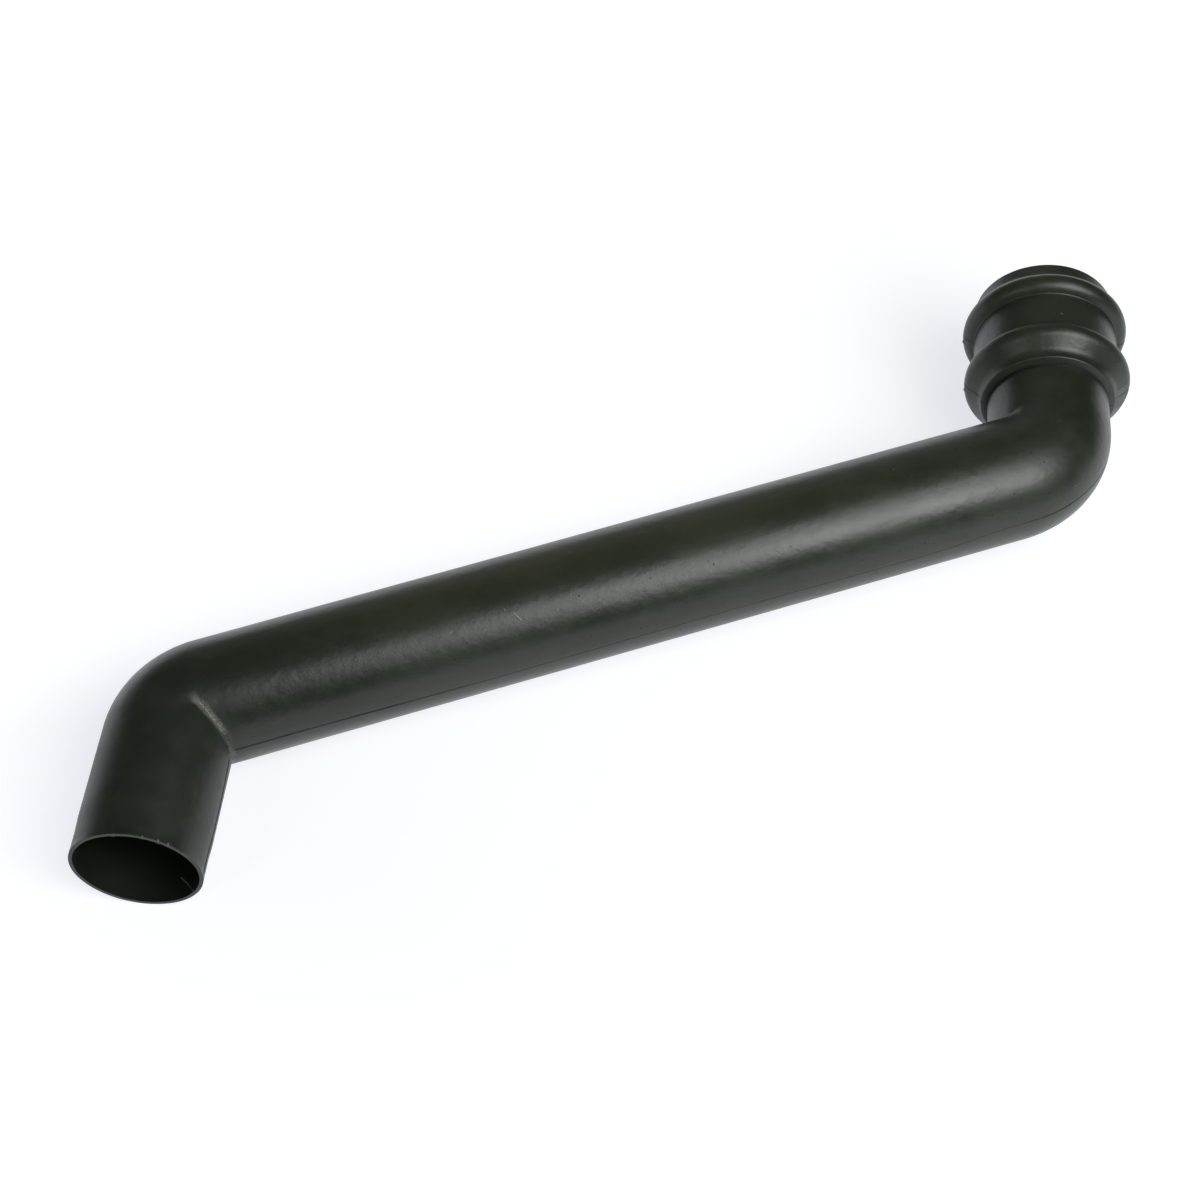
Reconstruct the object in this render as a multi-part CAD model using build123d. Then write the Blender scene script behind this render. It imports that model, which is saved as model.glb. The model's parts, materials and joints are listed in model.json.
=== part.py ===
from build123d import *
import math
import os

# Downpipe offset bend: one blow-moulded plastic piece that carries rainwater round the
# eaves. A round pipe leaves the spigot leg, runs across at a slope and turns back into
# a second leg, whose end is moulded as a wide socket with two beads.
#
# Frame, in millimetres: the piece lies on its side on the plane z = 0, as it comes to
# rest. The spigot points along -Y and the socket mouth along +Y, and the offset runs
# along +X. The origin is under the middle of the bounding box.
# Stations are measured along the upper leg, from the corner of its axis with the run's.

# Pipe
pipe_diameter = 68.0
wall = 2.4

# Line of the offset
projection = 457.0            # between the axes of the two parallel legs
bend_turn = 67.5              # the angle that each bend turns the pipe through
spigot_leg = 95.0             # from the corner of the axes to the cut end
lower_arc = 62.7              # radius of the lower bend's outer line
upper_arc = 72.8              # radius of the upper bend's outer line
lower_crease = 11.0           # radius of the round in the lower bend's inner angle
upper_crease = 4.0            # least radius there in the upper bend, which turns more widely

# Spigot
spigot_draw = 0.4             # taken off the pipe's radius, so that it enters the next pipe
spigot_land = 13.0            # straight length of the drawn-in end
spigot_taper = 9.0            # length over which the pipe draws in to it

# Socket, where each step is added to the pipe's radius
neck_station = 47.5           # foot of the shoulder, on the pipe
shoulder_step = 3.8
shoulder_rise = 1.7           # along the leg, from the neck to the shoulder's outer corner
bead_offset = 15.0            # from that corner to the lower bead
bead_spacing = 38.6
lip_length = 18.5             # from the upper bead to the mouth
barrel_step = 6.7             # plain tube between the beads
lip_step = 6.2                # outside of the rim
bead_height = 6.0             # crest above the barrel
bead_round = 6.6              # radius of a bead's rounded crest
cove_round = 6.2              # round that leads a bead down to the shoulder or the lip
cove_slope = 48.0             # steepest slope between a bead and its cove, in degrees
hollow_slope = 70.0           # slope of the hollows behind the beads, on the barrel's side
edge_break = 1.0              # bevels at the shoulder's corner and the rim
socket_clearance = 1.5        # between the sized mouth and the pipe that it takes, on the radius

pipe_radius = pipe_diameter / 2
spigot_radius = pipe_radius - spigot_draw
shoulder_radius = pipe_radius + shoulder_step
barrel_radius = pipe_radius + barrel_step
lip_radius = pipe_radius + lip_step
bead_radius = barrel_radius + bead_height
core_radius = bead_radius - bead_round
mouth_radius = pipe_radius + socket_clearance
shoulder_station = neck_station + shoulder_rise
lower_bead_station = shoulder_station + bead_offset
upper_bead_station = lower_bead_station + bead_spacing
mouth_station = upper_bead_station + lip_length
half_turn = math.radians(bend_turn / 2)
steepest = math.radians(cove_slope)
upper_corner = Vector(projection, projection / math.tan(math.radians(bend_turn)), 0)


def fold_web(radius, pivot, crease):
    """Filling of a bend's inner angle, its rounded section carried along the mitre."""
    fold = pivot - crease
    height = math.sqrt(radius**2 - fold**2)
    depth = (radius - fold) / math.cos(half_turn) + wall
    foot = Vector(pivot, -pivot * math.tan(half_turn), -height)

    def around(part, distance):
        turned = part * half_turn
        return foot + Vector(-math.cos(turned), math.sin(turned), 0) * distance

    front = ThreePointArc(around(0, crease), around(1, crease), around(2, crease))
    rear_radius = crease + depth
    rear = ThreePointArc(around(2, rear_radius), around(1, rear_radius), around(0, rear_radius))
    section = make_face([front, Line(front @ 1, rear @ 0), rear, Line(rear @ 1, front @ 0)])
    mitre_plane = Plane(
        origin=(0, 0, 0),
        x_dir=(math.cos(half_turn), -math.sin(half_turn), 0),
        z_dir=(-math.sin(half_turn), -math.cos(half_turn), 0),
    )
    spread = math.degrees(math.atan2(height, fold))
    path = Edge.make_ellipse(radius / math.cos(half_turn), radius, mitre_plane, -spread, spread)
    web = sweep(section, path=path, normal=(0, 0, 1))
    behind = Plane(
        origin=mitre_plane.x_dir * (fold / math.cos(half_turn) - wall),
        z_dir=mitre_plane.x_dir,
    )
    return split(web, bisect_by=behind, keep=Keep.TOP)


def elbow(radius, pivot, crease, leg_length, run_length):
    """Bent bar: its leg comes up along +Y to the origin and its run leaves towards +X.

    The outer side turns about the pivot, which lies that far inside both axes. On the
    inner side no line along the bar turns more tightly than the crease radius, which
    leaves the moulded fold in the inner angle.
    """
    tangent = pivot * math.tan(half_turn)
    fold = pivot - crease
    start = Plane(origin=(0, -tangent, 0), x_dir=(1, 0, 0), z_dir=(0, -1, 0))
    mitre = Plane(
        origin=(0, 0, 0),
        x_dir=(0, 0, 1),
        z_dir=(math.sin(half_turn), math.cos(half_turn), 0),
    )
    section = start * Circle(radius)
    leg = extrude(section, amount=leg_length - tangent)
    run = extrude(section, amount=run_length - tangent)
    folded = radius - fold > wall / 10
    if folded:
        leg = split(leg, bisect_by=mitre, keep=Keep.BOTTOM)
        run = split(run, bisect_by=mitre, keep=Keep.BOTTOM)
        section = section & (start * Pos(fold - 2 * radius, 0) * Rectangle(4 * radius, 4 * radius))
    pivot_axis = Axis((pivot, -tangent, 0), (0, 0, 1))
    turn = revolve(section, axis=pivot_axis, revolution_arc=-bend_turn)
    bar = leg + turn + mirror(run, about=mitre)
    if folded:
        bar = bar + fold_web(radius, pivot, crease)
    return bar


def bent_bar(skin, lower_length, upper_length):
    """The line of the pipe as a solid bar, taken in from the outside by the skin."""
    radius = pipe_radius - skin
    half_run = upper_corner.length / 2
    lower = elbow(radius, lower_arc - pipe_radius, lower_crease + skin, lower_length, half_run)
    upper = elbow(radius, upper_arc - pipe_radius, upper_crease + skin, upper_length, half_run)
    return lower + Pos(*upper_corner) * Rot(0, 0, 180) * upper


def spigot_end():
    """The drawn-in end of the lower leg: the taper and then the straight land."""
    land_start = spigot_land - spigot_leg
    taper_start = land_start + spigot_taper
    outline = Polyline(
        (0, -spigot_leg),
        (spigot_radius, -spigot_leg),
        (spigot_radius, land_start),
        (pipe_radius, taper_start),
        (0, taper_start),
        close=True,
    )
    return revolve(make_face(outline), axis=Axis.Y)


def bead_flank(seat_radius, bead_station, way):
    """The slope from a bead and the cove at its foot, where it runs out on the seat radius.

    The way is -1 towards the shoulder and 1 towards the mouth. Gives the two edges and
    the point where the cove meets the seat.
    """
    rise = cove_round * (1 - math.cos(steepest))
    top = Vector(
        core_radius + bead_round * math.cos(steepest),
        bead_station + way * bead_round * math.sin(steepest),
    )
    length = (top.X - seat_radius - rise) / math.tan(steepest)
    knee = Vector(seat_radius + rise, top.Y + way * length)
    foot = Vector(seat_radius, knee.Y + way * cove_round * math.sin(steepest))
    cove = CenterArc((seat_radius + cove_round, foot.Y), cove_round, 180, way * cove_slope)
    return Line(top, knee), cove, foot


def socket_outside():
    """Shoulder, lower bead, barrel, upper bead and lip, as one turned solid."""
    drop = max(barrel_radius - core_radius, 0)
    span = math.degrees(math.acos(drop / bead_round))
    half_width = math.sqrt(bead_round**2 - drop**2)
    lower_slope, lower_cove, lower_foot = bead_flank(shoulder_radius, lower_bead_station, -1)
    upper_slope, upper_cove, upper_foot = bead_flank(lip_radius, upper_bead_station, 1)
    lower_centre = (core_radius, lower_bead_station)
    upper_centre = (core_radius, upper_bead_station)
    lower_bead = CenterArc(lower_centre, bead_round, -cove_slope, cove_slope + span)
    upper_bead = CenterArc(upper_centre, bead_round, -span, span + cove_slope)
    seats = [
        Vector(barrel_radius, lower_bead_station + half_width),
        Vector(barrel_radius, upper_bead_station - half_width),
    ]
    corner = Vector(shoulder_radius, shoulder_station)
    rim = Vector(lip_radius, mouth_station)
    neck = neck_station - wall
    outline = [
        Polyline((0, neck), (pipe_radius, neck), (pipe_radius, neck_station), corner, lower_foot),
        lower_cove,
        lower_slope,
        lower_bead,
        Polyline(lower_bead @ 1, *seats, upper_bead @ 0) if drop == 0 else Line(*seats),
        upper_bead,
        upper_slope,
        upper_cove,
        Polyline(upper_foot, rim, (0, mouth_station), (0, neck)),
    ]
    face = make_face(outline)
    sharp = [
        vertex
        for vertex in face.vertices()
        if min((Vector(*vertex) - corner).length, (Vector(*vertex) - rim).length) < wall / 100
    ]
    return Pos(*upper_corner) * revolve(chamfer(sharp, edge_break), axis=Axis.Y)


def hollow_side(bead_station, way, seat_radius, slope):
    """One side of the hollow behind a bead: its flank lies a wall inside the crest's round."""
    top_radius = bead_radius - wall
    near = (bead_round - wall) * math.tan(slope / 2)
    far = near + (top_radius - seat_radius) / math.tan(slope)
    return (top_radius, bead_station + way * near), (seat_radius, bead_station + way * far)


def socket_inside():
    """The inside of the socket: the pipe's stop, two hollow beads and the sized mouth."""
    lean = (shoulder_station - neck_station) / (shoulder_radius - pipe_radius)
    stop_shift = wall * (math.hypot(1, lean) - lean)
    stop_radius = shoulder_radius - wall
    barrel_inside = barrel_radius - wall
    beyond = mouth_station + 2 * wall
    steep = math.radians(hollow_slope)
    lower_crown, lower_foot = hollow_side(lower_bead_station, -1, stop_radius, steepest)
    lower_far_crown, lower_seat = hollow_side(lower_bead_station, 1, barrel_inside, steep)
    upper_crown, upper_seat = hollow_side(upper_bead_station, -1, barrel_inside, steep)
    upper_far_crown, bore_start = hollow_side(upper_bead_station, 1, mouth_radius, steepest)
    outline = Polyline(
        (0, neck_station),
        (pipe_radius - wall, neck_station + stop_shift),
        (stop_radius, shoulder_station + stop_shift),
        lower_foot,
        lower_crown,
        lower_far_crown,
        lower_seat,
        upper_seat,
        upper_crown,
        upper_far_crown,
        bore_start,
        (mouth_radius, beyond),
        (0, beyond),
        close=True,
    )
    return Pos(*upper_corner) * revolve(make_face(outline), axis=Axis.Y)


def offset_bend():
    """The moulding: its outer form less the waterway and the inside of the socket."""
    beyond = 2 * wall
    full_leg = spigot_leg - spigot_land - spigot_taper
    outside = bent_bar(0, full_leg, shoulder_station) + spigot_end()
    outside += socket_outside()
    inside = bent_bar(wall, spigot_leg + beyond, shoulder_station + beyond)
    inside += socket_inside()
    return outside - inside


def laid_down(piece):
    """Turned about Y until the spigot leg and both beads touch the floor, and centred."""
    roll = math.degrees(math.asin((bead_radius - pipe_radius) / projection))
    lying = Rot(0, -roll, 0) * piece
    box = lying.bounding_box()
    return Pos(-box.center().X, -box.center().Y, -box.min.Z) * lying


os.makedirs("parts", exist_ok=True)
offset = laid_down(offset_bend())
offset.label = "offset_bend"
export_step(offset, "parts/offset_bend.step")
box = offset.bounding_box()
print("solids", len(offset.solids()), "volume", round(offset.volume), "faces", len(offset.faces()))
print("box", [round(value, 2) for value in (*box.min, *box.max)])
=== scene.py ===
import bmesh
import bpy
import json
import math
from mathutils import Matrix, Vector, noise


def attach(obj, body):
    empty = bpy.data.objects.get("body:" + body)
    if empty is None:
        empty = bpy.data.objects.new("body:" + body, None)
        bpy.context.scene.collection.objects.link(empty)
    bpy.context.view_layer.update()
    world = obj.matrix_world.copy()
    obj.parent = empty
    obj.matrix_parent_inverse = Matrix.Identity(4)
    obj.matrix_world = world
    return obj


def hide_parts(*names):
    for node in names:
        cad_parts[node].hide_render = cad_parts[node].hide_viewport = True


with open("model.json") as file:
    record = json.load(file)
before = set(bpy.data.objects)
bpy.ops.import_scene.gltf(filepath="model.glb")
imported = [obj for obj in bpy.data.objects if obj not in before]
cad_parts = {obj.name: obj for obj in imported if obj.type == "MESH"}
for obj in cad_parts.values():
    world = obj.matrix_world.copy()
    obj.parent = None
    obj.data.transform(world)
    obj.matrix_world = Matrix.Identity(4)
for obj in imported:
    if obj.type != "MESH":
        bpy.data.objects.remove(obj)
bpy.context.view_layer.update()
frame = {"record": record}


# The camera stands on the spigot's side, a little left of the socket, and looks down on the
# piece as it lies. Its lens is worked out for a picture 1200 pixels square.
picture_width = 1200
focal_pixels = 2143.3
camera_place = Vector((0.0643, -0.7217, 0.9480))
heading = math.radians(-6.883)
dip = math.radians(52.223)
lean = math.radians(-2.274)

ahead = Vector((
    math.sin(heading) * math.cos(dip),
    math.cos(heading) * math.cos(dip),
    -math.sin(dip),
))
level_right = Vector((math.cos(heading), -math.sin(heading), 0))
level_up = level_right.cross(ahead)
right = math.cos(lean) * level_right + math.sin(lean) * level_up
up = math.cos(lean) * level_up - math.sin(lean) * level_right
turned = Matrix((right, up, -ahead)).transposed().to_4x4()
camera = bpy.data.objects.new("camera", bpy.data.cameras.new("camera"))
camera.data.sensor_width = 36
camera.data.lens = focal_pixels * camera.data.sensor_width / picture_width
camera.data.clip_end = 60
camera.matrix_world = Matrix.Translation(camera_place) @ turned
bpy.context.collection.objects.link(camera)
bpy.context.scene.camera = camera
bpy.context.scene.view_settings.view_transform = "Standard"


# The offset bend is one blow-moulded piece of satin dark olive plastic. A soft tube is blown
# against a two-part mould, so the wall is even, the inner angles are folded, and a parting
# line runs all round it in the plane of the S. The spigot is sawn off and left as cut.
pipe_radius = 0.034
wall = 0.0024
bend_turn = math.radians(67.5)
half_turn = bend_turn / 2
lower_pivot = 0.0287
upper_pivot = 0.0388
lower_crease = 0.003
upper_crease = 0.001
# How far the inner side is drawn in, and the shares of the radius where that starts and ends.
lower_pinch = (0.009, 0.2, 0.7)
upper_pinch = (0.012, 0.35, 0.75)

spigot_leg = 0.095
spigot_land = 0.013
spigot_taper = 0.009
taper_round = 0.03
past_taper = 0.003
spigot_radius = 0.0336
saw_break = 0.0002

below_neck = 0.004
neck_station = 0.0475
shoulder_station = 0.0492
lower_bead_station = 0.0642
upper_bead_station = 0.1028
mouth_station = 0.1213
shoulder_radius = 0.0378
barrel_radius = 0.0407
lip_radius = 0.0402
lip_draft = 0.0006
bead_radius = 0.0467
bead_round = 0.0066
core_radius = bead_radius - bead_round
cove_round = 0.0062
cove_slope = math.radians(48)
side_slope = math.radians(78)
mouth_radius = 0.0355
small_round = 0.0009
rim_round = 0.0011

mounts = {mount["name"]: mount for mount in frame["record"]["mounts"]}
sized_length = mounts["socket"]["dims"]["length_mm"] / 1000
lower_corner = Vector(mounts["spigot"]["pos_m"]) + Vector((0, spigot_leg - spigot_land / 2, 0))
upper_corner = Vector(mounts["socket"]["pos_m"]) - Vector((0, mouth_station - sized_length / 2, 0))
offset = upper_corner - lower_corner
offset_way = Vector((offset.x, 0, offset.z)).normalized()
mouth_way = Vector((0, 1, 0))
plane_turn = Matrix((offset_way, mouth_way, offset_way.cross(mouth_way))).transposed()
far_corner = plane_turn.transposed() @ offset


def eased(value, start, end):
    """Goes smoothly from 0 at start to 1 at end."""
    share = min(max((value - start) / (end - start), 0), 1)
    return share * share * (3 - 2 * share)


def elbow_point(pivot, pinch, crease, across, height, share):
    """Point on a bend whose leg comes up to the corner along +Y, and the way to its pivot.

    No line along the pipe turns more tightly than the crease, which folds the inner angle.
    The pinch draws the lines on the inner side closer to it.
    """
    depth, start, end = pinch
    pinched = pivot - across - depth * eased(across, start * pipe_radius, end * pipe_radius)
    radius = max(pinched, crease)
    centre = across + radius
    turn = share * bend_turn
    point = Vector((
        centre - radius * math.cos(turn),
        radius * math.sin(turn) - centre * math.tan(half_turn),
        height,
    ))
    return point, Vector((math.cos(turn), -math.sin(turn), 0))


def lower_elbow(around, radius, skin, share):
    across, height = radius * math.cos(around), radius * math.sin(around)
    crease = lower_crease + skin
    point, inward = elbow_point(lower_pivot, lower_pinch, crease, across, height, share)
    return point, inward * math.cos(around) + Vector((0, 0, math.sin(around)))


def upper_elbow(around, radius, skin, share):
    across, height = -radius * math.cos(around), radius * math.sin(around)
    crease = upper_crease + skin
    point, inward = elbow_point(upper_pivot, upper_pinch, crease, across, height, share)
    flipped = far_corner + Vector((-point.x, -point.y, point.z))
    flat = math.cos(around)
    return flipped, Vector((inward.x * flat, inward.y * flat, math.sin(around)))


def leg_ring(corner, station, radius):
    """Ring square to a leg, at a distance along +Y from its corner."""
    def place(around):
        outward = Vector((math.cos(around), 0, math.sin(around)))
        return corner + Vector((0, station, 0)) + outward * radius, outward
    return place


def between(first, last, share):
    """Ring part of the way along the straight lines that join two rings."""
    def place(around):
        start, outward = first(around)
        end = last(around)[0]
        return start.lerp(end, share), outward
    return place


def elbow_ring(elbow, radius, skin, share):
    def place(around):
        return elbow(around, radius, skin, share)
    return place


def rounded(corners, arc_step):
    """Outline through the corners (station, radius, round), each round drawn as an arc."""
    points = [Vector(corners[0][:2])]
    for before, corner, after in zip(corners, corners[1:], corners[2:]):
        here = Vector(corner[:2])
        back = (Vector(before[:2]) - here).normalized()
        on = (Vector(after[:2]) - here).normalized()
        opening = back.angle(on)
        turn = math.pi - opening
        reach = corner[2] * math.tan(turn / 2)
        centre = here + (back + on).normalized() * corner[2] / math.sin(opening / 2)
        steps = max(4, math.ceil(turn / arc_step))
        spoke = here + back * reach - centre
        way = 1 if back.cross(on) < 0 else -1
        for step in range(steps + 1):
            angle = way * turn * step / steps
            points.append(centre + Matrix.Rotation(angle, 2) @ spoke)
    points.append(Vector(corners[-1][:2]))
    return points


def with_support(points, support, longest):
    """Adds points close to both ends of each straight, and divides what is still long."""
    outline = [points[0]]
    for start, end in zip(points, points[1:]):
        length = (end - start).length
        if length > 4 * support:
            marks = [support / length]
            pieces = max(1, math.ceil((length - 2 * support) / longest))
            span = 1 - 2 * support / length
            marks += [support / length + span * piece / pieces for piece in range(1, pieces + 1)]
            outline += [start.lerp(end, mark) for mark in marks]
        outline.append(end)
    return outline


def bead_corners(station, way):
    """Corners of a bead: its cove, its crown and its foot on the barrel, in that order."""
    seat = shoulder_radius if way < 0 else lip_radius
    flank_top = core_radius + bead_round * math.cos(cove_slope)
    flank_run = (flank_top - seat) / math.tan(cove_slope)
    cove = (station + way * (bead_round * math.sin(cove_slope) + flank_run), seat, cove_round)
    middle = (side_slope - cove_slope) / 2
    reach = bead_round / math.cos((side_slope + cove_slope) / 2)
    crown_height = core_radius + reach * math.cos(middle)
    crown = (station - way * reach * math.sin(middle), crown_height, bead_round)
    side_top = core_radius + bead_round * math.cos(side_slope)
    side_run = bead_round * math.sin(side_slope) + (side_top - barrel_radius) / math.tan(side_slope)
    foot = (station - way * side_run, barrel_radius, small_round)
    return [cove, crown, foot]


def hollow_corners(station, way, seat, slope):
    """Crown and foot of one side of the hollow behind a bead."""
    top = bead_radius - wall
    near = (bead_round - wall) * math.tan(slope / 2)
    far = near + (top - seat) / math.tan(slope)
    return (station + way * near, top, hollow_round), (station + way * far, seat, hollow_round)


hollow_round = 0.0018
hollow_slope = math.radians(70)
neck_start = neck_station - below_neck
stop_lean = (shoulder_station - neck_station) / (shoulder_radius - pipe_radius)
stop_shift = wall * (math.hypot(1, stop_lean) - stop_lean)
bore_radius = pipe_radius - wall
barrel_inside = barrel_radius - wall
stop_radius = shoulder_radius - wall

socket_outside = [
    (neck_start, pipe_radius, 0),
    (neck_station, pipe_radius, small_round),
    (shoulder_station, shoulder_radius, small_round),
    *bead_corners(lower_bead_station, -1),
    *reversed(bead_corners(upper_bead_station, 1)),
    (mouth_station, lip_radius - lip_draft, rim_round),
    (mouth_station, mouth_radius, rim_round / 2),
    *reversed(hollow_corners(upper_bead_station, 1, mouth_radius, cove_slope)),
    *hollow_corners(upper_bead_station, -1, barrel_inside, hollow_slope),
    *reversed(hollow_corners(lower_bead_station, 1, barrel_inside, hollow_slope)),
    *hollow_corners(lower_bead_station, -1, stop_radius, cove_slope),
    (shoulder_station + stop_shift, stop_radius, small_round),
    (neck_station + stop_shift, bore_radius, small_round),
    (neck_start, bore_radius, 0),
]
arc_step = math.radians(7)
support = 0.0003
longest = 0.004
socket_outline = with_support(rounded(socket_outside, arc_step), support, longest)

taper_end = -spigot_leg + spigot_land + spigot_taper
spigot_corners = [
    (taper_end + past_taper, bore_radius, 0),
    (-spigot_leg, bore_radius, saw_break),
    (-spigot_leg, spigot_radius, saw_break),
    (-spigot_leg + spigot_land, spigot_radius, taper_round),
    (taper_end, pipe_radius, taper_round),
    (taper_end + past_taper, pipe_radius, 0),
]
spigot_outline = with_support(rounded(spigot_corners, arc_step), support, longest)

origin = Vector((0, 0, 0))
leg_rows = 12
bend_rows = 40
run_rows = 64
upper_leg_rows = 5
near_fold = 0.0076
fold_step = 0.0004


def tube_rings(radius, skin, rows, finer):
    """Rings of the plain tube, from the spigot's leg round both bends to the neck."""
    spigot_side = leg_ring(origin, spigot_outline[-1].x, radius)
    neck_side = leg_ring(far_corner, neck_start, radius)
    lower_in = elbow_ring(lower_elbow, radius, skin, 0)
    lower_out = elbow_ring(lower_elbow, radius, skin, 1)
    upper_in = elbow_ring(upper_elbow, radius, skin, 1)
    upper_out = elbow_ring(upper_elbow, radius, skin, 0)
    legs, bends, run, upper_leg = rows
    run_length = far_corner.length
    leg_length = spigot_leg - spigot_land
    close_rows = range(1, round(near_fold / fold_step) + 1) if finer else ()
    on_leg = [1 - fold_step * row / leg_length for row in close_rows][::-1]
    on_run = [fold_step * row / run_length for row in close_rows]
    leg_end = on_leg[0] if finer else 1
    run_start = on_run[-1] if finer else 0
    leg_shares = [leg_end * row / legs for row in range(1, legs)] + on_leg
    run_shares = on_run + [run_start + (1 - run_start) * row / run for row in range(1, run)]
    rings = [between(spigot_side, lower_in, share) for share in leg_shares]
    rings += [elbow_ring(lower_elbow, radius, skin, row / bends) for row in range(bends + 1)]
    rings += [between(lower_out, upper_in, share) for share in run_shares]
    rings += [elbow_ring(upper_elbow, radius, skin, 1 - row / bends) for row in range(bends + 1)]
    rings += [between(upper_out, neck_side, row / upper_leg) for row in range(1, upper_leg)]
    return rings


# All the rings in order, out along the skin and back along the bore, each with whether it is
# inside. The inside begins past the sawn edge, and a few rows round the socket's rim.
rim_rows = 6
socket_turn = socket_outline.index(max(socket_outline, key=lambda point: point.x))
outer_rows = (leg_rows, bend_rows, run_rows, upper_leg_rows)
inner_rows = (leg_rows // 2, bend_rows // 2, run_rows // 2, upper_leg_rows)
rings = []
for point in spigot_outline:
    past_cut = point.x > saw_break - spigot_leg and point.y < spigot_radius - 0.5 * wall
    rings.append((leg_ring(origin, point.x, point.y), past_cut))
rings += [(ring, False) for ring in tube_rings(pipe_radius, 0, outer_rows, True)]
for row, point in enumerate(socket_outline):
    rings.append((leg_ring(far_corner, point.x, point.y), row > socket_turn + rim_rows))
rings += [(ring, True) for ring in reversed(tube_rings(bore_radius, wall, inner_rows, False))]

run_way = far_corner.normalized()
mitre_way = Vector((math.sin(half_turn), math.cos(half_turn), 0))
groove_depth = 0.0004
groove_reach = 0.0007
seam_to_middle = (0.24, 0.1)
seam_to_bend = (0.445, 0.47)
seam_left = 0.45
seam_wander = math.radians(2)
seam_hump = math.radians(5.5)
leg_shift = math.radians(4)


def seam_strength(point, near_side):
    """How deep the parting line is, which was fettled away by hand in places."""
    along = point.dot(run_way)
    if near_side and point.y < -0.026:
        return 1.0
    if not near_side or along > far_corner.length:
        return 0.5
    below, above = 0.85 * eased(along, *seam_to_middle), 0.65 * eased(along, *seam_to_bend)
    return max(below, above, seam_left) * (0.8 + 0.3 * noise.noise(point * 60))


def seam_drift(centre):
    """The parting line wanders a little round the pipe."""
    along = centre.dot(run_way)
    hump = eased(along, 0.41, 0.46) * eased(along, 0.51, 0.485)
    on_leg = eased(centre.y, -0.02, -0.05) if centre.x < 0.05 else 0
    return seam_wander * noise.noise(centre * 9) + seam_hump * hump - leg_shift * on_leg


def fold_line(degrees):
    """How far past the mitre the fold lies, round the inner side of the lower bend."""
    return 0.0010 - 0.0018 * eased(degrees, 20, 2) + 0.0010 * eased(degrees, 45, 58)


def socket_dust(station, degrees):
    """Weathered dust on the socket, thicker on the upper bead and the lip."""
    upper_end = eased(station, upper_bead_station - 0.012, upper_bead_station + 0.008)
    on_top = eased(degrees, 60, 115) * eased(degrees, 178, 150)
    return max(upper_end * (0.3 + 0.7 * on_top) * eased(degrees, 20, 50), 0.15 * on_top)


def run_dust(point, degrees):
    """Weathered dust on the upper side of the sloping run, most of it in the middle."""
    along = point.dot(run_way)
    middle = eased(along, -0.02, 0.2) * eased(along, 0.46, 0.3)
    on_top = eased(degrees, 55, 100) * eased(degrees, 165, 130)
    return on_top * (0.35 * eased(along, -0.03, 0.03) + 0.65 * middle)


fold_press = 0.0005
fold_width = 0.0011
fold_wobble = 0.0003
crumple_depth = 0.00016
crumple_width = 0.0016
white_width = 0.0012
white_shift = 0.0004


def fold_marks(point, degrees):
    """Press of the fold into the wall and the whitening of the plastic along it."""
    gap = point.dot(mitre_way) - fold_line(degrees) + fold_wobble * noise.noise(point * 700)
    reach = eased(degrees, -13, -6) * eased(degrees, 62, 50)
    crumple = noise.noise(point * 1100) * math.exp(-(gap / crumple_width) ** 2)
    press = fold_press * max(0, 1 - abs(gap) / fold_width) - crumple_depth * crumple
    white = math.exp(-((gap - white_shift) / white_width) ** 2)
    white *= 0.25 + 0.75 * eased(degrees, 18, 30)
    return press * reach, white * reach * (0.75 + 0.5 * noise.noise(point * 1500))


# Moulding flash was trimmed with a knife: flat on the lower bead, and in the corner of the fold.
trim_depth = 0.00046
corner_trim = 0.00018
flank_way = Vector((math.cos(cove_slope), -math.sin(cove_slope), 0))
flank_point = Vector((
    core_radius + bead_round * math.cos(cove_slope),
    lower_bead_station - bead_round * math.sin(cove_slope),
    0,
))
trim_way = Matrix.Rotation(math.radians(2), 3, "Y") @ flank_way
trim_limit = flank_point.dot(flank_way) - trim_depth

# The shoulder springs from the leg out of a narrow groove. Both beads keep a nib of flash at
# the parting line, and the saw left burrs (place in degrees, height) inside the cut end.
undercut = 0.0016
undercut_station = neck_station + 0.0003
undercut_reach = 0.0008
nib_angle = math.radians(185)
nib_width = 0.0012
nib_height = 0.0013
nib_drop = 0.0026
nib_stations = (upper_bead_station - nib_drop, lower_bead_station - nib_drop)
burrs = ((97.5, 0.0007), (72.5, 0.0004), (57.5, 0.0005), (50, 0.0004))
burr_spread = 1.5
saw_reach = 0.0006
saw_wave = 0.00008
saw_score = 0.00003

# Columns of points round the pipe: even ones, two at the end of the trimmed flat, and close
# ones on both sides of the parting line.
even_columns = 144
flat_end = (8.3, 9.1)
columns = [math.radians(360 * column / even_columns) for column in range(even_columns)]
columns += [math.radians(degrees) for degrees in flat_end]
for seam in (0, math.pi):
    for step in (0.00022, groove_reach, 0.001):
        columns += [seam - step / pipe_radius, seam + step / pipe_radius]
columns = sorted(angle % (2 * math.pi) for angle in columns)

mark_names = ("seam", "fold", "trim", "cut", "dulled", "dust")
skin_wave = 0.00005
skin_ripple = 0.00002


def sawn(point, angle, degrees):
    """Moves a point of the cut end for the burrs and for the marks of the saw."""
    radial = Vector((math.cos(angle), 0, math.sin(angle)))
    burr = sum(height * max(0, 1 - abs(degrees - place) / burr_spread) for place, height in burrs)
    inside_edge = eased(math.hypot(point.x, point.z), spigot_radius - 0.4 * wall, bore_radius)
    wave, score = 1 + noise.noise(radial * 3), 1 + noise.noise(radial * 40)
    return point - radial * burr * inside_edge + Vector((0, saw_wave * wave + saw_score * score, 0))


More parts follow.
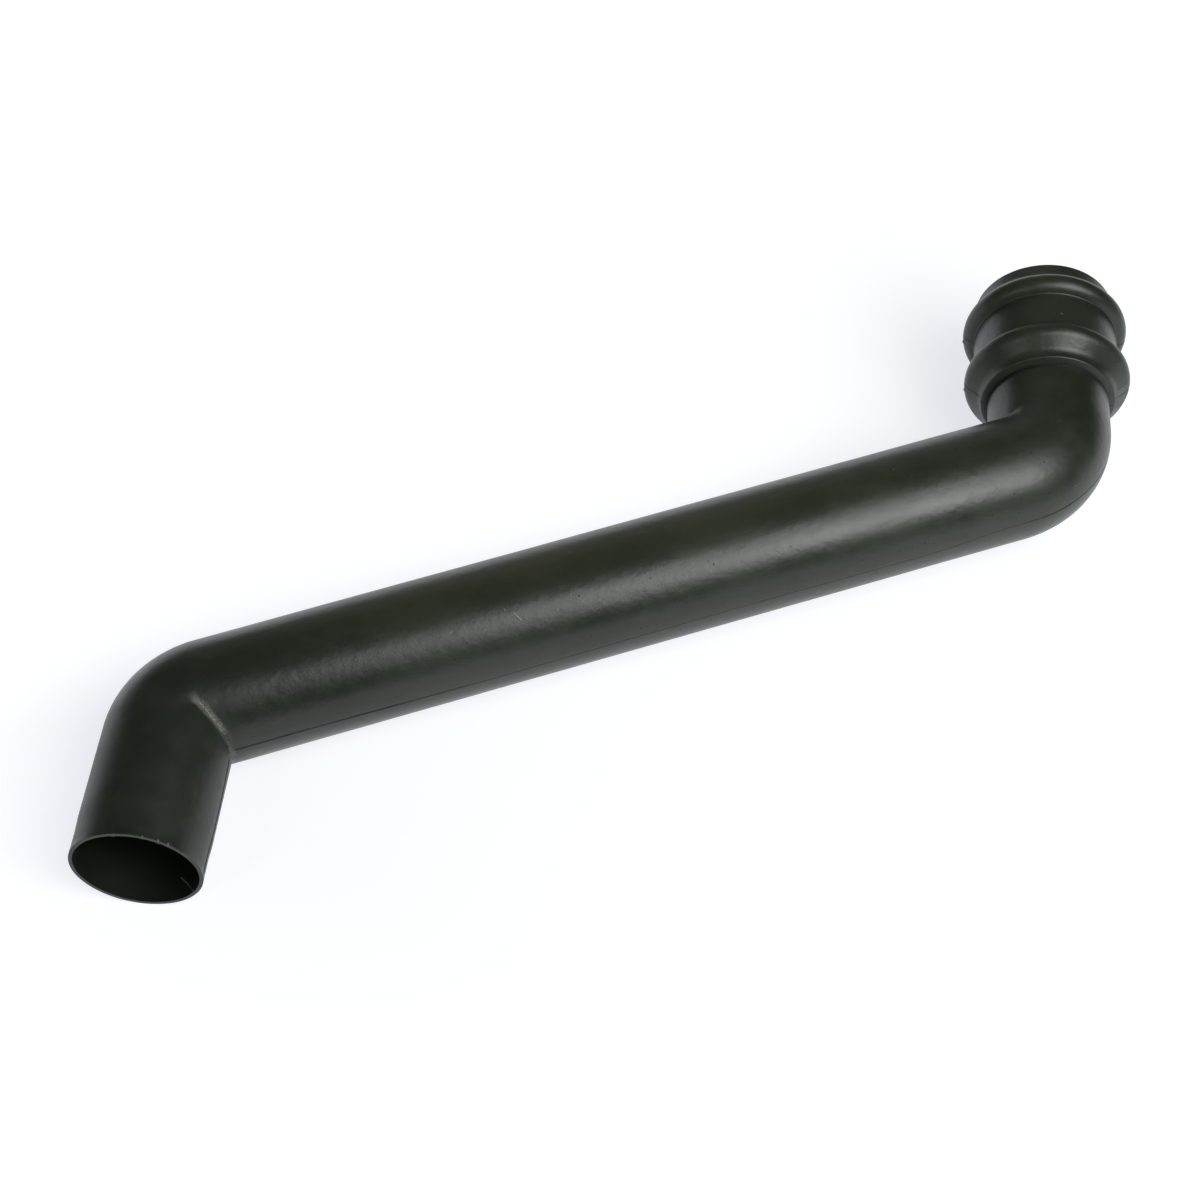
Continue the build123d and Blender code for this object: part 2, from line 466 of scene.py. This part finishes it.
def finished(point, outward, angle, seam_gap, inner):
    """Moves a point of the plain shape for the small marks of making, and gives their masks."""
    marks = dict.fromkeys(mark_names, 0.0)
    degrees = math.degrees((angle + math.pi) % (2 * math.pi) - math.pi)
    from_end = point.y + spigot_leg
    if from_end < saw_reach and point.x < 0.05:
        marks["cut"] = eased(from_end, 0.0003, 0.0001)
        return sawn(point, angle, degrees), marks
    if inner:
        return point, marks
    push = -skin_wave * (1 + noise.noise(point * 38)) - skin_ripple * (1 + noise.noise(point * 150))
    strength = seam_strength(point, abs(degrees) < 90)
    push -= groove_depth * strength * max(0, 1 - seam_gap / groove_reach)
    seam_dark_edge = 0.0004 + 0.0008 * strength
    marks["seam"] = strength * eased(seam_gap, seam_dark_edge, 0.0002 + 0.0004 * strength)
    marks["dulled"] = eased(point.y, 0.005, -0.04) if point.x < 0.04 else 0.0
    marks["dust"] = run_dust(point, degrees)
    if -15 < degrees < 66 and point.length < 0.06:
        press, marks["fold"] = fold_marks(point, degrees)
        push -= press
        past = abs(point.dot(mitre_way) + 0.001) + 0.0004 * noise.noise(point * 500)
        corner = eased(past, 0.0034, 0.0024) * eased(abs(degrees + 4), 7, 5)
        push -= corner_trim * corner
        marks["trim"] = corner
    on_socket = point - far_corner
    # Painted shade: the groove at the shoulder's foot is coloured near black through the seam mask,
    # more strongly round the far side.
    far_side = eased(degrees, 50, 120) if degrees > -90 else 1.0
    foot_share = 1 - abs(on_socket.y - undercut_station) / (undercut_reach * (1 + 0.4 * far_side))
    if foot_share > 0:
        push -= undercut * foot_share
        marks["seam"] = max(marks["seam"], (0.4 + 0.55 * far_side) * eased(foot_share, 0, 0.2))
    if on_socket.y > shoulder_station:
        marks["dulled"] = 0.1
        marks["dust"] = max(marks["dust"], socket_dust(on_socket.y, degrees))
        for station in nib_stations:
            aside = (angle - nib_angle) * bead_radius / nib_width
            off = math.hypot(aside, (on_socket.y - station) / nib_width)
            push += nib_height * max(0, 1 - off)
        excess = on_socket.dot(trim_way) - trim_limit
        if abs(degrees + 2) < 16 and on_socket.y < lower_bead_station and excess > 0:
            marks["trim"] = eased(excess, 0, 0.00008)
            return point + outward * push - trim_way * excess, marks
    return point + outward * push, marks


shell = bmesh.new()
layers = {name: shell.verts.layers.float.new(name) for name in mark_names}
grid = []
for ring, inner in rings:
    centre = (ring(0)[0] + ring(math.pi)[0]) / 2
    drift = seam_drift(centre)
    line = []
    for angle in columns:
        turn_gap = (angle + math.pi / 2) % math.pi - math.pi / 2
        drifted = angle + (0 if inner else drift * math.exp(-(turn_gap / 0.5) ** 2))
        point, outward = ring(drifted)
        point, marks = finished(point, outward, drifted, abs(turn_gap) * pipe_radius, inner)
        vertex = shell.verts.new(lower_corner + plane_turn @ point)
        for name in mark_names:
            vertex[layers[name]] = marks[name]
        line.append(vertex)
    grid.append(line)
for row, (line, after) in enumerate(zip(grid, grid[1:] + grid[:1])):
    inside = rings[row][1] and rings[(row + 1) % len(rings)][1]
    for column in range(len(columns)):
        beside = (column + 1) % len(columns)
        face = shell.faces.new((line[column], line[beside], after[beside], after[column]))
        face.smooth = True
        face.material_index = 1 if inside else 0
bmesh.ops.recalc_face_normals(shell, faces=shell.faces)
mesh = bpy.data.meshes.new("offset_bend_moulding")
shell.to_mesh(mesh)
shell.free()
moulding = bpy.data.objects.new("offset_bend_moulding", mesh)
bpy.context.collection.objects.link(moulding)


def wired(tree, kind, settings, inputs):
    """Adds a node, with its settings, plain values and the sockets that feed it."""
    node = tree.nodes.new(kind)
    for name, value in settings.items():
        setattr(node, name, value)
    for name, value in inputs.items():
        if isinstance(value, bpy.types.NodeSocket):
            tree.links.new(value, node.inputs[name])
        else:
            node.inputs[name].default_value = value
    return node


def worked(tree, operation, *values):
    node = wired(tree, "ShaderNodeMath", {"operation": operation}, dict(enumerate(values)))
    return node.outputs[0]


def graded(tree, source, start, end, low, high):
    """Value that goes smoothly from low to high as the source goes from start to end."""
    limits = {"Value": source, "From Min": start, "From Max": end, "To Min": low, "To Max": high}
    steps = wired(tree, "ShaderNodeMapRange", {"interpolation_type": "SMOOTHSTEP"}, limits)
    return steps.outputs["Result"]


def tinted(tree, share, first, second):
    mix = tree.nodes.new("ShaderNodeMix")
    mix.data_type = "RGBA"
    for socket, value in zip((mix.inputs[0], mix.inputs[6], mix.inputs[7]), (share, first, second)):
        if isinstance(value, bpy.types.NodeSocket):
            tree.links.new(value, socket)
        else:
            socket.default_value = value
    return mix.outputs[2]


def clouds(tree, place, size, detail):
    """Noise whose patches are about this size, in metres."""
    settings = {"Vector": place, "Scale": 1 / size, "Detail": detail, "Roughness": 0.55}
    return wired(tree, "ShaderNodeTexNoise", {}, settings).outputs["Fac"]


def new_group(name, inputs, outputs):
    group = bpy.data.node_groups.new(name, "ShaderNodeTree")
    for title, kind in inputs:
        group.interface.new_socket(name=title, in_out="INPUT", socket_type=kind)
    for title in outputs:
        group.interface.new_socket(name=title, in_out="OUTPUT", socket_type="NodeSocketFloat")
    return group, group.nodes.new("NodeGroupInput"), group.nodes.new("NodeGroupOutput")


# Skin of a blown moulding: soft mottle, a fine grain from the mould, small pits and pale specks.
mottle_sizes = (0.06, 0.009)
grain_sizes = (0.005, 0.001)
spot_gap = 0.0036
pits_at_most = 0.5
specks_to_pits = 0.15
skin_group, given, result = new_group(
    "moulded_skin",
    [("Place", "NodeSocketVector"), ("Pitting", "NodeSocketFloat")],
    ["Mottle", "Grain", "Pits", "Specks"],
)
place = given.outputs["Place"]
broad, close = (clouds(skin_group, place, size, 3) for size in mottle_sizes)
mottle = worked(skin_group, "MULTIPLY", broad, 0.65)
mottle = worked(skin_group, "MULTIPLY_ADD", close, 0.35, mottle)
skin_group.links.new(graded(skin_group, mottle, 0.36, 0.62, 0, 1), result.inputs["Mottle"])
peel = clouds(skin_group, place, grain_sizes[0], 3)
fine = clouds(skin_group, place, grain_sizes[1], 1)
skin_group.links.new(worked(skin_group, "MULTIPLY_ADD", fine, 0.12, peel), result.inputs["Grain"])
sown = {"Vector": place, "Scale": 1 / spot_gap, "Randomness": 1.0}
spots = wired(skin_group, "ShaderNodeTexVoronoi", {}, sown)
chance = wired(skin_group, "ShaderNodeSeparateColor", {}, {"Color": spots.outputs["Color"]})
spot_size = worked(skin_group, "MULTIPLY_ADD", chance.outputs["Blue"], 0.08, 0.06)
round_spot = worked(skin_group, "LESS_THAN", spots.outputs["Distance"], spot_size)
pit_share = worked(skin_group, "MULTIPLY", given.outputs["Pitting"], pits_at_most)
speck_share = worked(skin_group, "MULTIPLY", pit_share, specks_to_pits)
is_pit = worked(skin_group, "LESS_THAN", chance.outputs["Red"], pit_share)
is_speck = worked(skin_group, "LESS_THAN", chance.outputs["Green"], speck_share)
skin_group.links.new(worked(skin_group, "MULTIPLY", round_spot, is_pit), result.inputs["Pits"])
skin_group.links.new(worked(skin_group, "MULTIPLY", round_spot, is_speck), result.inputs["Specks"])

# A light scratch or thread between two points.
scratch_group, given, result = new_group(
    "light_scratch",
    [
        ("Place", "NodeSocketVector"),
        ("Start", "NodeSocketVector"),
        ("End", "NodeSocketVector"),
        ("Width", "NodeSocketFloat"),
    ],
    ["Mask"],
)


def vector_work(tree, operation, first, second):
    node = wired(tree, "ShaderNodeVectorMath", {"operation": operation}, {0: first, 1: second})
    return node.outputs["Value"] if operation == "DOT_PRODUCT" else node.outputs["Vector"]


length_way = vector_work(scratch_group, "SUBTRACT", given.outputs["End"], given.outputs["Start"])
from_start = vector_work(scratch_group, "SUBTRACT", given.outputs["Place"], given.outputs["Start"])
run_along = vector_work(scratch_group, "DOT_PRODUCT", from_start, length_way)
whole = vector_work(scratch_group, "DOT_PRODUCT", length_way, length_way)
reached = worked(scratch_group, "DIVIDE", run_along, whole)
reached.node.use_clamp = True
stretch = {0: length_way, "Scale": reached}
foot = wired(scratch_group, "ShaderNodeVectorMath", {"operation": "SCALE"}, stretch)
away = vector_work(scratch_group, "SUBTRACT", from_start, foot.outputs["Vector"])
distance = wired(scratch_group, "ShaderNodeVectorMath", {"operation": "LENGTH"}, {0: away})
nearness = worked(scratch_group, "DIVIDE", distance.outputs["Value"], given.outputs["Width"])
scratch_group.links.new(graded(scratch_group, nearness, 0.35, 1.0, 1, 0), result.inputs["Mask"])


def scratches(tree, place, lines):
    """Mask of all the scratches, each given by its start, its end and its half width."""
    mask = None
    for start, end, half_width in lines:
        values = {"Place": place, "Start": start, "End": end, "Width": half_width}
        mark = wired(tree, "ShaderNodeGroup", {"node_tree": scratch_group}, values).outputs["Mask"]
        mask = mark if mask is None else worked(tree, "MAXIMUM", mask, mark)
    return mask


def on_tube(corner, way, radius, along, degrees):
    """Point on a straight stretch of the tube, so far along it and so many degrees round it."""
    around = math.radians(degrees)
    side = Vector((way.y, -way.x, 0))
    spot = corner + way * along + side * radius * math.cos(around)
    spot.z += radius * math.sin(around)
    return lower_corner + plane_turn @ spot


def tube_marks(corner, way, radius, half_width, lines):
    """Marks on a straight stretch, each between two places given as (along, degrees)."""
    return [
        (*(on_tube(corner, way, radius, *place) for place in line), half_width) for line in lines
    ]


def mask_of(tree, name):
    return wired(tree, "ShaderNodeAttribute", {"attribute_name": name}, {}).outputs["Fac"]


dark_olive = (0.0125, 0.0170, 0.0115, 1)
worn_olive = (0.0215, 0.0270, 0.0190, 1)
dust_brown = (0.040, 0.042, 0.026, 1)
# Near black: the colour of the parting line and of the pits, and painted shade in the groove at the
# shoulder's foot.
near_black_and_crevice_shade = (0.004, 0.0045, 0.004, 1)
whitened = (0.34, 0.36, 0.31, 1)
trimmed_pale = (0.12, 0.13, 0.125, 1)
sawn_pale = (0.045, 0.05, 0.044, 1)
speck_pale = (0.16, 0.18, 0.13, 1)

plastic = bpy.data.materials.new("satin_olive_plastic")
plastic.use_nodes = True
tree = plastic.node_tree
gloss = tree.nodes["Principled BSDF"]
place = wired(tree, "ShaderNodeTexCoord", {}, {}).outputs["Object"]
parts = wired(tree, "ShaderNodeSeparateXYZ", {}, {"Vector": place})
pitting = worked(
    tree,
    "MULTIPLY",
    graded(tree, parts.outputs["X"], -0.1, 0.14, 0.1, 1.0),
    graded(tree, parts.outputs["Y"], 0.06, 0.1, 1.0, 0.1),
)
skin_values = {"Place": place, "Pitting": pitting}
skin = wired(tree, "ShaderNodeGroup", {"node_tree": skin_group}, skin_values)
# Handling marks: a bright scratch and faint flecks on the upper side of the run, a fleck on the
# barrel and one on the lower bead, and pale spots at the burrs (degrees, inset, length, width).
run_scratch = ((0.1811, 57.1), (0.1838, 48.8))
run_flecks = (
    ((0.1464, 55.0), (0.1475, 55.7)),
    ((0.1637, 48.9), (0.1647, 49.6)),
    ((0.1768, 62.8), (0.1771, 61.4)),
    ((0.2032, 49.3), (0.2037, 49.8)),
)
barrel_fleck = ((0.0802, 84.0), (0.0804, 83.4))
bead_fleck = ((0.0624, 86.5), (0.0626, 86.0))
bead_inset = 0.0003
burr_spots = (
    (96.1, 0.0004, 0.0006, 0.0005),
    (71.8, 0.0001, 0.0006, 0.0005),
    (58.4, 0.0001, 0.0008, 0.0006),
    (49.5, 0.0001, 0.0010, 0.0006),
)
bright_marks = tube_marks(origin, run_way, pipe_radius, 0.0004, [run_scratch])
bright_marks += tube_marks(far_corner, mouth_way, barrel_radius, 0.0005, [barrel_fleck])
for degrees, inset, length, half_width in burr_spots:
    spot = ((-spigot_leg, degrees), (length - spigot_leg, degrees))
    bright_marks += tube_marks(origin, mouth_way, spigot_radius - inset, half_width, [spot])
faint_marks = tube_marks(origin, run_way, pipe_radius, 0.0006, run_flecks)
faint_marks += tube_marks(far_corner, mouth_way, bead_radius - bead_inset, 0.0004, [bead_fleck])
faint = worked(tree, "MULTIPLY", scratches(tree, place, faint_marks), 0.35)
marked = worked(tree, "MAXIMUM", scratches(tree, place, bright_marks), faint)
specks = worked(tree, "MULTIPLY", skin.outputs["Specks"], 0.4)
light_marks = worked(tree, "MAXIMUM", marked, specks)
patches = graded(tree, skin.outputs["Mottle"], 0, 1, 0.7, 1)
dusting = worked(tree, "MULTIPLY", mask_of(tree, "dust"), patches)
crystals = graded(tree, clouds(tree, place, 0.0006, 2), 0.38, 0.6, 0.25, 1)
strained = worked(tree, "MULTIPLY", mask_of(tree, "fold"), crystals)
sliced = worked(tree, "MULTIPLY", mask_of(tree, "trim"), crystals)
colour = tinted(tree, skin.outputs["Mottle"], dark_olive, worn_olive)
# The seam mask colours the parting line near black and paints shade into the groove at the
# shoulder's foot.
for share, shade in (
    (dusting, dust_brown),
    (mask_of(tree, "seam"), near_black_and_crevice_shade),
    (strained, whitened),
    (sliced, trimmed_pale),
    (mask_of(tree, "cut"), sawn_pale),
    (worked(tree, "MULTIPLY", skin.outputs["Pits"], 0.8), near_black_and_crevice_shade),
    (light_marks, speck_pale),
):
    colour = tinted(tree, share, colour, shade)
tree.links.new(colour, gloss.inputs["Base Color"])
satin = 0.33
matt_share = worked(tree, "MULTIPLY_ADD", mask_of(tree, "dulled"), 0.1, satin)
matt_share = worked(tree, "MULTIPLY_ADD", skin.outputs["Mottle"], 0.05, matt_share)
matt_share = worked(tree, "MULTIPLY_ADD", skin.outputs["Pits"], 0.4, matt_share)
for name, more in (("seam", 0.5), ("fold", 0.25), ("trim", 0.2), ("cut", 0.25)):
    matt_share = worked(tree, "MULTIPLY_ADD", mask_of(tree, name), more, matt_share)
tree.links.new(worked(tree, "MINIMUM", matt_share, 0.9), gloss.inputs["Roughness"])
sunk = worked(tree, "MULTIPLY_ADD", skin.outputs["Pits"], -0.5, skin.outputs["Grain"])
raised = worked(tree, "MULTIPLY_ADD", light_marks, 0.3, sunk)
relief = wired(tree, "ShaderNodeBump", {}, {"Strength": 1.0, "Distance": 0.0002, "Height": raised})
tree.links.new(relief.outputs["Normal"], gloss.inputs["Normal"])
mesh.materials.append(plastic)

# The inside never touched the mould, so it is duller. Its colour is painted darker than the skin as
# shade inside the tube, and it has a loose thread of plastic.
inside_painted_shade = (0.009, 0.0118, 0.008, 1)
inside_painted_shade_mottle = (0.012, 0.0145, 0.0105, 1)
thread_pale = (0.14, 0.155, 0.12, 1)
dull = bpy.data.materials.new("dull_inside_plastic_painted_shade")
dull.use_nodes = True
tree = dull.node_tree
gloss = tree.nodes["Principled BSDF"]
gloss.inputs["Specular IOR Level"].default_value = 0.2
place = wired(tree, "ShaderNodeTexCoord", {}, {}).outputs["Object"]
skin_values = {"Place": place, "Pitting": 0.2}
skin = wired(tree, "ShaderNodeGroup", {"node_tree": skin_group}, skin_values)
thread_root, thread_bend, thread_tip = (-0.0819, -63), (-0.0876, -51), (-0.0945, -37)
thread = tube_marks(origin, mouth_way, bore_radius, 0.0005, [(thread_root, thread_bend)])
thread += tube_marks(origin, mouth_way, bore_radius, 0.0004, [(thread_bend, thread_tip)])
threaded = scratches(tree, place, thread)
colour = tinted(tree, skin.outputs["Mottle"], inside_painted_shade, inside_painted_shade_mottle)
colour = tinted(tree, threaded, colour, thread_pale)
tree.links.new(colour, gloss.inputs["Base Color"])
matt_share = worked(tree, "MULTIPLY_ADD", skin.outputs["Mottle"], 0.08, 0.55)
tree.links.new(matt_share, gloss.inputs["Roughness"])
raised = worked(tree, "MULTIPLY_ADD", threaded, 3.0, skin.outputs["Grain"])
relief = wired(tree, "ShaderNodeBump", {}, {"Strength": 1.0, "Distance": 0.00003, "Height": raised})
tree.links.new(relief.outputs["Normal"], gloss.inputs["Normal"])
mesh.materials.append(dull)

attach(moulding, "root")
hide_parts("offset_bend")


# The floor is a sheet of white paper, wide enough to fill the picture. It keeps the shadow of the
# piece under a slightly blue painted glow, which is dimmer near the middle, brighter towards the
# back and just behind the run, and painted down to grey on the right.
floor_half = 8
corner_ways = ((-1, -1), (1, -1), (1, 1), (-1, 1))
floor_corners = [(floor_half * x, floor_half * y, 0) for x, y in corner_ways]
floor_mesh = bpy.data.meshes.new("floor")
floor_mesh.from_pydata(floor_corners, [], [(0, 1, 2, 3)])
floor = bpy.data.objects.new("floor", floor_mesh)
bpy.context.collection.objects.link(floor)
paper_white = (0.9, 0.9, 0.9, 1)
shadow_grey = (0.40, 0.40, 0.40, 1)
cool_glow = (0.93, 0.95, 1, 1)
paper = bpy.data.materials.new("white_paper")
paper.use_nodes = True
tree = paper.node_tree
tree.nodes.clear()
spot = wired(tree, "ShaderNodeTexCoord", {}, {}).outputs["Object"]
side = wired(tree, "ShaderNodeSeparateXYZ", {}, {"Vector": spot})
from_middle = wired(tree, "ShaderNodeVectorMath", {"operation": "LENGTH"}, {0: spot})
# Painted light: the glow rises away from the middle and towards the back, lifts the shadow just
# behind the run, and is painted darker on the right beyond x 0.46 m.
near_glow = graded(tree, from_middle.outputs["Value"], 0.2, 0.6, 0.765, 1.04)
painted_dim_right = graded(tree, side.outputs["X"], 0.46, 0.62, 1, 0.35)
far_glow = graded(tree, side.outputs["Y"], 0.3, 0.9, 0, 0.45)
behind_run = vector_work(tree, "DOT_PRODUCT", spot, (-0.38, 0.92, 0))
open_glow = worked(
    tree,
    "MULTIPLY",
    graded(tree, behind_run, 0.02, 0.1, 0, 0.12),
    graded(tree, side.outputs["X"], 0.0, 0.15, 1, 0),
)
glow = worked(tree, "ADD", near_glow, worked(tree, "MAXIMUM", far_glow, open_glow))
glow = worked(tree, "MULTIPLY", glow, painted_dim_right)
matt = wired(tree, "ShaderNodeBsdfDiffuse", {}, {"Color": paper_white})
shaded = wired(tree, "ShaderNodeBsdfDiffuse", {}, {"Color": shadow_grey})
bright = wired(tree, "ShaderNodeEmission", {}, {"Color": cool_glow, "Strength": glow})
pale = wired(tree, "ShaderNodeAddShader", {}, {0: shaded.outputs[0], 1: bright.outputs[0]})
path = wired(tree, "ShaderNodeLightPath", {}, {})
seen = worked(tree, "MAXIMUM", path.outputs["Is Camera Ray"], path.outputs["Is Glossy Ray"])
sheet = wired(tree, "ShaderNodeMixShader", {}, {0: seen, 1: matt.outputs[0], 2: pale.outputs[0]})
wired(tree, "ShaderNodeOutputMaterial", {}, {"Surface": sheet.outputs[0]})
floor_mesh.materials.append(paper)


# Soft studio light: a wide softbox with a brighter core on the camera's right, a weak strip on
# its left, and the pale room round them, which is lightest at the back and on the left.
def softbox(name, place, aim, width, height, power, spread):
    lamp = bpy.data.lights.new(name, "AREA")
    lamp.shape = "RECTANGLE"
    lamp.size = width
    lamp.size_y = height
    lamp.energy = power
    lamp.spread = math.radians(spread)
    lamp.color = (0.97, 1.0, 0.96)
    box = bpy.data.objects.new(name, lamp)
    box.location = place
    box.rotation_euler = (Vector(aim) - Vector(place)).to_track_quat("-Z", "Y").to_euler()
    box.visible_camera = False
    bpy.context.collection.objects.link(box)


softbox("key_softbox", (0.66, -0.50, 0.92), (0.12, -0.03, 0), 1.05, 0.95, 3.8, 90)
softbox("key_core", (0.74, -0.56, 0.80), (0.12, -0.03, 0), 0.34, 0.34, 0.6, 90)
softbox("fill_strip", (-0.75, -1.07, 0.92), (0, 0, 0), 0.3, 0.4, 1.6, 180)

room = bpy.data.worlds.new("room")
bpy.context.scene.world = room
room.use_nodes = True
tree = room.node_tree
room_light = tree.nodes["Background"]
room_light.inputs["Color"].default_value = (1, 1, 1, 1)
way = wired(tree, "ShaderNodeTexCoord", {}, {}).outputs["Generated"]
height = wired(tree, "ShaderNodeSeparateXYZ", {}, {"Vector": way}).outputs["Z"]
to_back_left = vector_work(tree, "DOT_PRODUCT", way, (-0.6, 0.8, 0))
to_back = vector_work(tree, "DOT_PRODUCT", way, (-0.15, 0.9, 0.41))
to_left = vector_work(tree, "DOT_PRODUCT", way, (-0.75, -0.48, 0.45))
back_wall = worked(
    tree,
    "MULTIPLY",
    graded(tree, to_back_left, 0.1, 0.85, 0, 1),
    graded(tree, height, 0.02, 0.28, 0.12, 0.01),
)
back_panel = graded(tree, to_back, 0.9, 0.99, 0, 0.24)
left_wall = graded(tree, to_left, 0.5, 0.95, 0, 0.04)
ceiling = graded(tree, height, 0.8, 0.98, 0, 0.04)
room_level = 0.03
level = worked(tree, "ADD", back_panel, room_level)
for part in (back_wall, left_wall, ceiling):
    level = worked(tree, "ADD", level, part)
path = wired(tree, "ShaderNodeLightPath", {}, {})
level = worked(tree, "MAXIMUM", level, path.outputs["Is Camera Ray"])
tree.links.new(level, room_light.inputs["Strength"])
